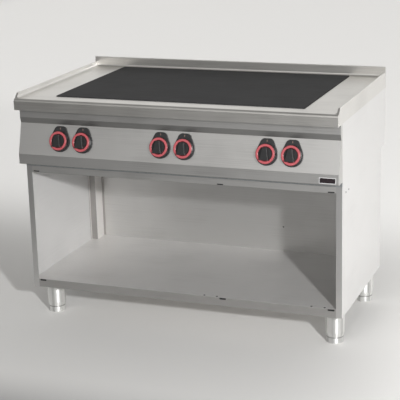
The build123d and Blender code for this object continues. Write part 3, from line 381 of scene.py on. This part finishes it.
# %% Plated and oxidised metals
def plated(name, light, dark, rough, cell_mm):
    """A metal whose tone and roughness change from crystal to crystal."""
    material, tree, shader = start(name, Metallic=1.0)
    place = add(tree, "TexCoord").outputs["Object"]
    cells = add(tree, "TexVoronoi", {"Scale": 1 / (cell_mm * MM)}, Vector=place)
    chance = add(tree, "SeparateColor", Color=cells.outputs["Color"])
    ramp = add(tree, "ValToRGB", Fac=chance.outputs["Red"])
    ramp.color_ramp.elements[0].color = colour(dark)
    ramp.color_ramp.elements[1].color = colour(light)
    tree.links.new(ramp.outputs["Color"], shader.inputs["Base Color"])
    limits = {"To Min": rough - 0.06, "To Max": rough + 0.08}
    spread = add(tree, "MapRange", limits, Value=chance.outputs["Green"])
    tree.links.new(spread.outputs["Result"], shader.inputs["Roughness"])
    return material


# Blue-grey with large flat crystals.
galvanised = plated("steel_galvanised_spangled", "#c3c6c8", "#b1b5b8", 0.42, 8.0)
# Bright and grey.
zinc = plated("steel_zinc_plated", "#c9cacb", "#bcbdbe", 0.30, 1.5)
# Dark and dull.
mild_steel = plated("steel_mild_rolled", "#8f8e8c", "#7b7a78", 0.5, 3.0)
element_sheath = plated("steel_sheath_oxidised", "#6f7068", "#5d5e57", 0.55, 4.0)
rivet_grey = plated("aluminium_rivet_dulled", "#6f6f6f", "#606060", 0.5, 1.5)
# The only yellow metal.
brass = plated("brass_turned", "#c9a65f", "#b8954f", 0.33, 2.0)
print("made the plated metals")

# %% [markdown]
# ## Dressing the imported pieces
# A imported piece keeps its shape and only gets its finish. The table below goes from the start of a
# piece's name to its finish, and the longest match wins, so a group such as the knobs needs one line.

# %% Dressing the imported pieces
finishes = {
    "worktop": worktop_steel, "hot_plate": plate_steel, "fascia": fascia_steel, "top_rail": fascia_steel,
    "upper_side": side_steel, "cabinet_side": side_steel, "cabinet_shelf": shelf_steel,
    "cabinet_back": back_steel, "rear_posts": post_steel, "leg_": leg_steel, "foot_": foot_steel,
    "knob_": knob_black, "knob_ring_": ring_red, "bezel_": bezel_black, "switch_shaft_": zinc,
    "upper_floor": galvanised, "upper_rear_panel": galvanised, "base_channels": galvanised,
    "heat_shield": galvanised, "plate_frame": mild_steel, "clamp_bars": mild_steel, "clamp_nuts": zinc,
    "heating_elements": element_sheath, "insulation_board": board_white, "plate_gasket": gasket_white,
    "rotary_switches": switch_grey, "terminal_block": switch_grey, "switch_nuts": zinc,
    "wiring_loom": loom_black, "cable_gland": gland_black, "bonding_stud": brass, "frame_screws": zinc,
}
for name, piece in nodes.items():
    match = max((key for key in finishes if name.startswith(key)), key=len)
    piece.data.materials.clear()
    piece.data.materials.append(finishes[match])
print("dressed", len(nodes), "pieces with", len({m.name for m in finishes.values()}), "finishes")

# %% [markdown]
# ## Turning a bmesh into a piece
# Every added piece ends the same way: its normals are turned outwards, faces that meet at a shallow angle
# are smoothed, the mesh becomes an object at the origin, and it is tied to the body that carries it.

# %% Turning a bmesh into a piece
SMOOTH_BELOW = math.radians(35)


def piece_from(bm, name, materials):
    """Makes an object from a bmesh and ties it to the range's frame."""
    bmesh.ops.recalc_face_normals(bm, faces=bm.faces)
    for face in bm.faces:
        face.smooth = True
    for edge in bm.edges:
        edge.smooth = edge.calc_face_angle(math.pi) < SMOOTH_BELOW
    mesh = bpy.data.meshes.new(name)
    bm.to_mesh(mesh)
    bm.free()
    for material in materials:
        mesh.materials.append(material)
    piece = bpy.data.objects.new(name, mesh)
    scene.collection.objects.link(piece)
    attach(piece, "range_frame")
    print(name, len(mesh.polygons), "faces")
    return piece


# %% [markdown]
# Screws, rivets and plugs are turned shapes, so a short profile of radius and height is spun round its
# axis. Each kind is made once and copied to its places. Instances would be lighter, but one mesh a kind
# is easier to hand on.

# %% Turned shapes and copies
MERGE_DISTANCE = 0.01 * MM


def turned(profile, steps):
    """A shape spun round Z from points of radius and height in millimetres."""
    bm = bmesh.new()
    points = [bm.verts.new((radius * MM, 0, height * MM)) for radius, height in profile]
    line = [bm.edges.new(pair) for pair in zip(points, points[1:])]
    full = {"cent": (0, 0, 0), "axis": (0, 0, 1), "angle": 2 * math.pi, "steps": steps, "use_merge": True}
    bmesh.ops.spin(bm, geom=points + line, **full)
    bmesh.ops.remove_doubles(bm, verts=bm.verts, dist=MERGE_DISTANCE)
    return bm


def copies(bm, places):
    """One bmesh with a copy of a shape at each place."""
    shape = bpy.data.meshes.new("shape")
    bm.to_mesh(shape)
    bm.free()
    many = bmesh.new()
    for place in places:
        before = len(many.verts)
        many.from_mesh(shape)
        many.verts.ensure_lookup_table()
        bmesh.ops.transform(many, matrix=place, verts=many.verts[before:])
    bpy.data.meshes.remove(shape)
    return many


UP_IS_DOWN = Matrix.Rotation(math.pi, 4, "X")
UP_IS_FRONT = Matrix.Rotation(math.pi / 2, 4, "X")
UP_IS_BACK = Matrix.Rotation(-math.pi / 2, 4, "X")
print("turned shapes stand up along Z and are laid over by a turn")

# %% [markdown]
# ## Button-head screws
# The leg plates and the rear panel are held by button-head screws with a hexagon socket. The head's flat
# top is closed by a bridge from its round rim to a six-sided circle, which is then extruded down for the
# socket.

# %% Button-head screws
SCREW = [(0, -10), (3, -10), (3, 0), (5.5, 0), (5.5, 0.6), (5.1, 1.65), (4.3, 2.55), (3.2, 3)]
SCREW_STEPS, SOCKET_SIDES = 24, 6
SOCKET_RADIUS, SOCKET_DEPTH = 2.3 * MM, 1.7 * MM
LEG_SCREW_REACH, LEG_PLATE_THICKNESS = 31 * MM, 3 * MM
PANEL_SCREW_SHARES = (-1, -0.5, 0, 0.5, 1)
PANEL_INSET_SIDE, PANEL_INSET_LOW, PANEL_INSET_HIGH = 12 * MM, 8 * MM, 12 * MM

bm = turned(SCREW, SCREW_STEPS)
rim = [edge for edge in bm.edges if edge.is_boundary]
head_top = Matrix.Translation((0, 0, SCREW[-1][1] * MM))
socket = bmesh.ops.create_circle(bm, segments=SOCKET_SIDES, radius=SOCKET_RADIUS, matrix=head_top)
hexagon = list({edge for vert in socket["verts"] for edge in vert.link_edges})
bmesh.ops.bridge_loops(bm, edges=rim + hexagon)
deep = bmesh.ops.extrude_edge_only(bm, edges=hexagon)["geom"]
sunk = [part for part in deep if isinstance(part, bmesh.types.BMVert)]
bmesh.ops.translate(bm, verts=sunk, vec=(0, 0, -SOCKET_DEPTH))
bmesh.ops.contextual_create(bm, geom=[part for part in deep if isinstance(part, bmesh.types.BMEdge)])

places = []
for leg in ("leg_1", "leg_2", "leg_3", "leg_4"):
    low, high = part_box(leg)
    middle = (low + high) / 2
    for x in (-LEG_SCREW_REACH, LEG_SCREW_REACH):
        for y in (-LEG_SCREW_REACH, LEG_SCREW_REACH):
            corner = Vector((middle.x + x, middle.y + y, high.z - LEG_PLATE_THICKNESS))
            places.append(Matrix.Translation(corner) @ UP_IS_DOWN)
low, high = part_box("upper_rear_panel")
for share in PANEL_SCREW_SHARES:
    for z in (low.z + PANEL_INSET_LOW, high.z - PANEL_INSET_HIGH):
        spot = Matrix.Translation((share * (high.x - PANEL_INSET_SIDE), high.y, z))
        places.append(spot @ UP_IS_BACK)
screws = piece_from(copies(bm, places), "frame_screws_socket_heads", [zinc])
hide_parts("frame_screws")

# %% [markdown]
# ## Rivets
# Two blind rivets show in each side of the stand, under the upper module, and one in the back wall. A
# rivet is a low dome with a small pit where its pin broke off. The profile has unit size, and each place
# also scales it.

# %% Rivets
DOME = [(0, 0), (1, 0), (0.94, 0.5), (0.75, 0.85), (0.45, 1), (0.3, 0.95), (0.24, 0.4), (0, 0.35)]
DOME_STEPS = 20
SIDE_RIVET = Matrix.Diagonal((4.0, 4.0, 0.4, 1))
BACK_RIVET = Matrix.Diagonal((3.2, 3.2, 1.0, 1))
SIDE_RIVET_SETBACKS, SIDE_RIVET_Z = (109 * MM, 148 * MM), 565 * MM
BACK_RIVET_X, BACK_RIVET_Z = 212 * MM, 251 * MM

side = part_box("cabinet_side_right")[1].x
places = []
for setback in SIDE_RIVET_SETBACKS:
    for sign in (-1, 1):
        outwards = Matrix.Rotation(sign * math.pi / 2, 4, "Y")
        spot = Matrix.Translation((sign * side, WORKTOP_FRONT + setback, SIDE_RIVET_Z))
        places.append(spot @ outwards @ SIDE_RIVET)
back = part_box("cabinet_back")[0].y
places.append(Matrix.Translation((BACK_RIVET_X, back, BACK_RIVET_Z)) @ UP_IS_FRONT @ BACK_RIVET)
piece_from(copies(turned(DOME, DOME_STEPS), places), "panel_rivets", [rivet_grey])

# %% [markdown]
# ## Plugs in the rails, with painted shade in the slots
# Both rails have slots for door hinges, and the bay's floor has holes for door catches. Without doors,
# black plastic plugs close them: a little set back in an upper slot, with a flange over a lower slot, and
# standing a little proud of a hole. The black plugs in the slots also serve as painted shade: they keep the
# slots dark where the lit paper would show through. A slot's plug is a circle whose halves are pulled apart
# before it is extruded, and the flange is the same shape, stretched. An odd start angle keeps every corner
# off the parting line.

# %% Plugs in the rails, with painted shade in the slots
SLOT_X = (-560 * MM, 160 * MM, 560 * MM)
SLOT_FROM_EDGE = 3.65 * MM
PLUG_RADIUS, PLUG_PULL, PLUG_THICKNESS, PLUG_SETBACK = 1.95 * MM, 9.75 * MM, 0.6 * MM, 0.5 * MM
PLUG_SEGMENTS, PLUG_START = 24, math.radians(7.5)
FLANGE = Matrix.Diagonal((1.05, 1.7, 1, 1))
HOLE_FROM_SLOT, HOLE_SETBACK = (-73 * MM, -25 * MM), 8 * MM
HOLE_PLUG = Matrix.Diagonal((4.0, 4.0, 1.4, 1))

bm = bmesh.new()
odd_start = Matrix.Rotation(PLUG_START, 4, "Z")
bmesh.ops.create_circle(bm, cap_ends=True, segments=PLUG_SEGMENTS, radius=PLUG_RADIUS, matrix=odd_start)
for vert in bm.verts:
    vert.co.x += math.copysign(PLUG_PULL, vert.co.x)
thick = bmesh.ops.extrude_face_region(bm, geom=bm.faces[:])["geom"]
raised = [part for part in thick if isinstance(part, bmesh.types.BMVert)]
bmesh.ops.translate(bm, verts=raised, vec=(0, 0, PLUG_THICKNESS))

rail_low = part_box("top_rail")[0]
shelf_low, shelf_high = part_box("cabinet_shelf")
seat_y = rail_low.y + PLUG_SETBACK + PLUG_THICKNESS
upper_z, lower_z = rail_low.z + SLOT_FROM_EDGE, shelf_high.z - SLOT_FROM_EDGE
# Painted shade: black plugs in the upper and lower slots keep them dark.
places = [Matrix.Translation((x, seat_y, upper_z)) @ UP_IS_FRONT for x in SLOT_X]
places += [Matrix.Translation((x, shelf_low.y, lower_z)) @ UP_IS_FRONT @ FLANGE for x in SLOT_X]
piece_from(copies(bm, places), "rail_slot_shade_plugs", [gland_black])
hole_y = shelf_low.y + HOLE_SETBACK
spots = [(x + shift, hole_y, shelf_high.z) for x in SLOT_X[1:] for shift in HOLE_FROM_SLOT]
places = [Matrix.Translation(spot) @ HOLE_PLUG for spot in spots]
piece_from(copies(turned(DOME, DOME_STEPS), places), "floor_hole_plugs", [gland_black])

# %% [markdown]
# ## Bare plate on the fascia
# A small plate sits at the right end of the fascia's lower band. It carries nothing here: a dark anodised
# face in a pale frame. A beveled slab is enough, and an inset on its front face makes the frame.

# %% Bare plate on the fascia
BAND_SETBACK = 11.5 * MM
PLATE_X, PLATE_Z = 561 * MM, 627.5 * MM
PLATE_WIDTH, PLATE_THICKNESS, PLATE_HEIGHT = 58 * MM, 0.8 * MM, 21 * MM
PLATE_CORNER, PLATE_FRAME = 2 * MM, 2 * MM

bm = bmesh.new()
middle = Vector((PLATE_X, WORKTOP_FRONT + BAND_SETBACK - PLATE_THICKNESS / 2, PLATE_Z))
slab = Matrix.Translation(middle) @ Matrix.Diagonal((PLATE_WIDTH, PLATE_THICKNESS, PLATE_HEIGHT, 1))
bmesh.ops.create_cube(bm, size=1, matrix=slab)
corners = [e for e in bm.edges if abs((e.verts[0].co - e.verts[1].co).y) > PLATE_THICKNESS / 2]
bmesh.ops.bevel(bm, geom=corners, offset=PLATE_CORNER, affect="EDGES", segments=4, profile=0.5, material=-1)
front_face = min(bm.faces, key=lambda f: f.calc_center_median().y)
bmesh.ops.inset_region(bm, faces=[front_face], thickness=PLATE_FRAME, depth=0)
front_face.material_index = 1
piece_from(bm, "fascia_bare_plate", [plate_pale, plate_dark])

# %% [markdown]
# ## Index marks on the bezels
# Each bezel has a short printed mark at the top of its tab, which the knob points at when it is off. The
# mark lies on the bezel's leaning front face, so it is made flat and then turned and moved by the seat's
# own matrix.

# %% Index marks on the bezels
MARK_UP, MARK_OUT = 45.5 * MM, 7.05 * MM
MARK_SIZE = Matrix.Diagonal((2.4 * MM, 7 * MM, 0.2 * MM, 1))

bm = bmesh.new()
for joint in turns.values():
    outward = -Vector(joint["axis"])
    across = Vector((1, 0, 0))
    seat = Matrix((across, outward.cross(across), outward)).transposed().to_4x4()
    seat.translation = Vector(joint["pos_m"])
    mark = seat @ Matrix.Translation((0, MARK_UP, MARK_OUT)) @ MARK_SIZE
    bmesh.ops.create_cube(bm, size=1, matrix=mark)
piece_from(bm, "bezel_index_marks", [mark_ink])

# %% [markdown]
# ## Floor
# The range stands on a wide sheet of pale studio paper, which ends a little in front of it. Beyond the
# paper the floor is painted grey and darker to the left, as painted shade for light that falls off towards
# the front left. Satin fronts mirror that floor, so it decides how dark they look. One square carries all
# the colours: a ramp along X for the grey floor, and a soft step along Y from it to the paper.

# %% Floor
FLOOR_HALF = 40
PAPER_END, PAPER_START = WORKTOP_FRONT - 0.80, WORKTOP_FRONT - 0.38
FLOOR_LEFT, FLOOR_RIGHT = -1.6, 0.0
WAVE_SIZE, WAVE_DEPTH = 1.25, 0.05

# Matte and pale near the range, with painted shade further in front: grey, and darker to the left.
floor_paper, tree, shader = start("floor_paper_matte", IOR=1.45, Roughness=0.85, Specular_IOR_Level=0.2)
place = add(tree, "TexCoord").outputs["Object"]
parts = add(tree, "SeparateXYZ", Vector=place)
wave = add(tree, "TexNoise", {"Scale": 1 / WAVE_SIZE, "Detail": 2.0}, Vector=place).outputs["Fac"]
wander = add(tree, "Math", {"operation": "MULTIPLY_ADD"}, _0=wave, _2=parts.outputs["Y"])
wander.inputs[1].default_value = WAVE_DEPTH
along = {"interpolation_type": "SMOOTHSTEP", "From Min": PAPER_END, "From Max": PAPER_START}
edge = add(tree, "MapRange", along, Value=wander.outputs["Value"])
sideways = {"From Min": FLOOR_LEFT, "From Max": FLOOR_RIGHT}
left_painted_shade = add(tree, "MapRange", sideways, Value=parts.outputs["X"])
ramp = add(tree, "ValToRGB", Fac=left_painted_shade.outputs["Result"])
ramp.color_ramp.elements[0].color = colour("#717171")
ramp.color_ramp.elements[1].color = colour("#a0a0a0")
# A Mix node keeps its two colours at inputs 6 and 7 and gives the mixed one at output 2.
both = add(tree, "Mix", {"data_type": "RGBA"}, Factor=edge.outputs["Result"], _6=ramp.outputs["Color"])
both.inputs[7].default_value = colour("#ecebe9")
tree.links.new(both.outputs[2], shader.inputs["Base Color"])
bm = bmesh.new()
bmesh.ops.create_grid(bm, x_segments=2, y_segments=2, size=FLOOR_HALF)
floor_mesh = bpy.data.meshes.new("floor")
bm.to_mesh(floor_mesh)
bm.free()
floor_mesh.materials.append(floor_paper)
floor = bpy.data.objects.new("floor", floor_mesh)
scene.collection.objects.link(floor)
print("floor", floor.dimensions[:2])

# %% [markdown]
# ## Light
# One small lamp stands at the right front, low enough to reach into the bay and throw the crisp shadow of
# the right-hand post across its floor. The paper has its own light from above: two wide banks with a
# grid, which lets light out in a narrow cone only. Behind and to the right of the range they make the
# paper pale and leave the range alone.

# %% Lamp and banks
def lamp(name, size, watts, place, spread=180):
    """A rectangular light of a given size in metres, whose grid narrows its cone to a number of degrees."""
    light = bpy.data.lights.new(name, "AREA")
    light.shape = "RECTANGLE"
    light.size, light.size_y = size
    light.energy = watts
    light.spread = math.radians(spread)
    holder = bpy.data.objects.new(name, light)
    scene.collection.objects.link(holder)
    holder.matrix_world = place
    print(name, "at", [round(v, 2) for v in place.translation])


KEY_BEARING, KEY_ELEVATION, KEY_DISTANCE = math.radians(36.5), math.radians(18), 6.0
KEY_AIM = Vector((0, 0, 0.5))
BANK_HEIGHT, GRID = 3.0, 30
BACK_BANK_Y, RIGHT_BANK_X, RIGHT_BANK_Y = 6.45, 2.55, -0.05

flat = math.cos(KEY_ELEVATION)
way = Vector((math.sin(KEY_BEARING) * flat, -math.cos(KEY_BEARING) * flat, math.sin(KEY_ELEVATION)))
turn = way.to_track_quat("Z", "Y").to_matrix().to_4x4()
key_place = Matrix.Translation(KEY_AIM + KEY_DISTANCE * way) @ turn
back_place = Matrix.Translation((0, BACK_BANK_Y, BANK_HEIGHT))
right_place = Matrix.Translation((RIGHT_BANK_X, RIGHT_BANK_Y, BANK_HEIGHT))
lamp("key_lamp", size=(0.22, 0.22), watts=258, place=key_place)
lamp("back_bank", size=(12.0, 11.1), watts=195, place=back_place, spread=GRID)
lamp("right_bank", size=(2.9, 1.9), watts=17, place=right_place, spread=GRID)

# %% [markdown]
# The room itself is what the steel mirrors. Its back is bright. Its front is bright in the middle, dark
# on the left and dim on the right. Its ceiling is dim too, so a rounded edge shows a dark line between
# two light ones. Ramps over the direction of the ray give that, with no picture behind them.

# %% Room
RIGHT, BACK, CEILING = 0.3, 0.92, 0.25

world = bpy.data.worlds.new("studio")
scene.world = world
world.use_nodes = True
tree = world.node_tree
place = add(tree, "TexCoord")
way = add(tree, "SeparateXYZ", Vector=place.outputs["Generated"])
left_to_middle = {"From Min": -0.50, "From Max": -0.15, "To Min": 0.13, "To Max": 1.12}
from_left = add(tree, "MapRange", left_to_middle, Value=way.outputs["X"])
to_right = add(tree, "MapRange", {"From Min": 0.0, "From Max": 0.4}, Value=way.outputs["X"])
front = add(tree, "Mix", {"B": RIGHT}, Factor=to_right.outputs["Result"], A=from_left.outputs["Result"])
to_back = add(tree, "MapRange", {"From Min": -0.2, "From Max": 0.3}, Value=way.outputs["Y"])
around = add(tree, "Mix", {"B": BACK}, Factor=to_back.outputs["Result"], A=front.outputs["Result"])
to_ceiling = add(tree, "MapRange", {"From Min": 0.45, "From Max": 0.8}, Value=way.outputs["Z"])
whole = add(tree, "Mix", {"B": CEILING}, Factor=to_ceiling.outputs["Result"], A=around.outputs["Result"])
room = tree.nodes["Background"]
room.inputs["Color"].default_value = colour("#fdfcfa")
tree.links.new(whole.outputs["Result"], room.inputs["Strength"])
print("a room with a dim ceiling")
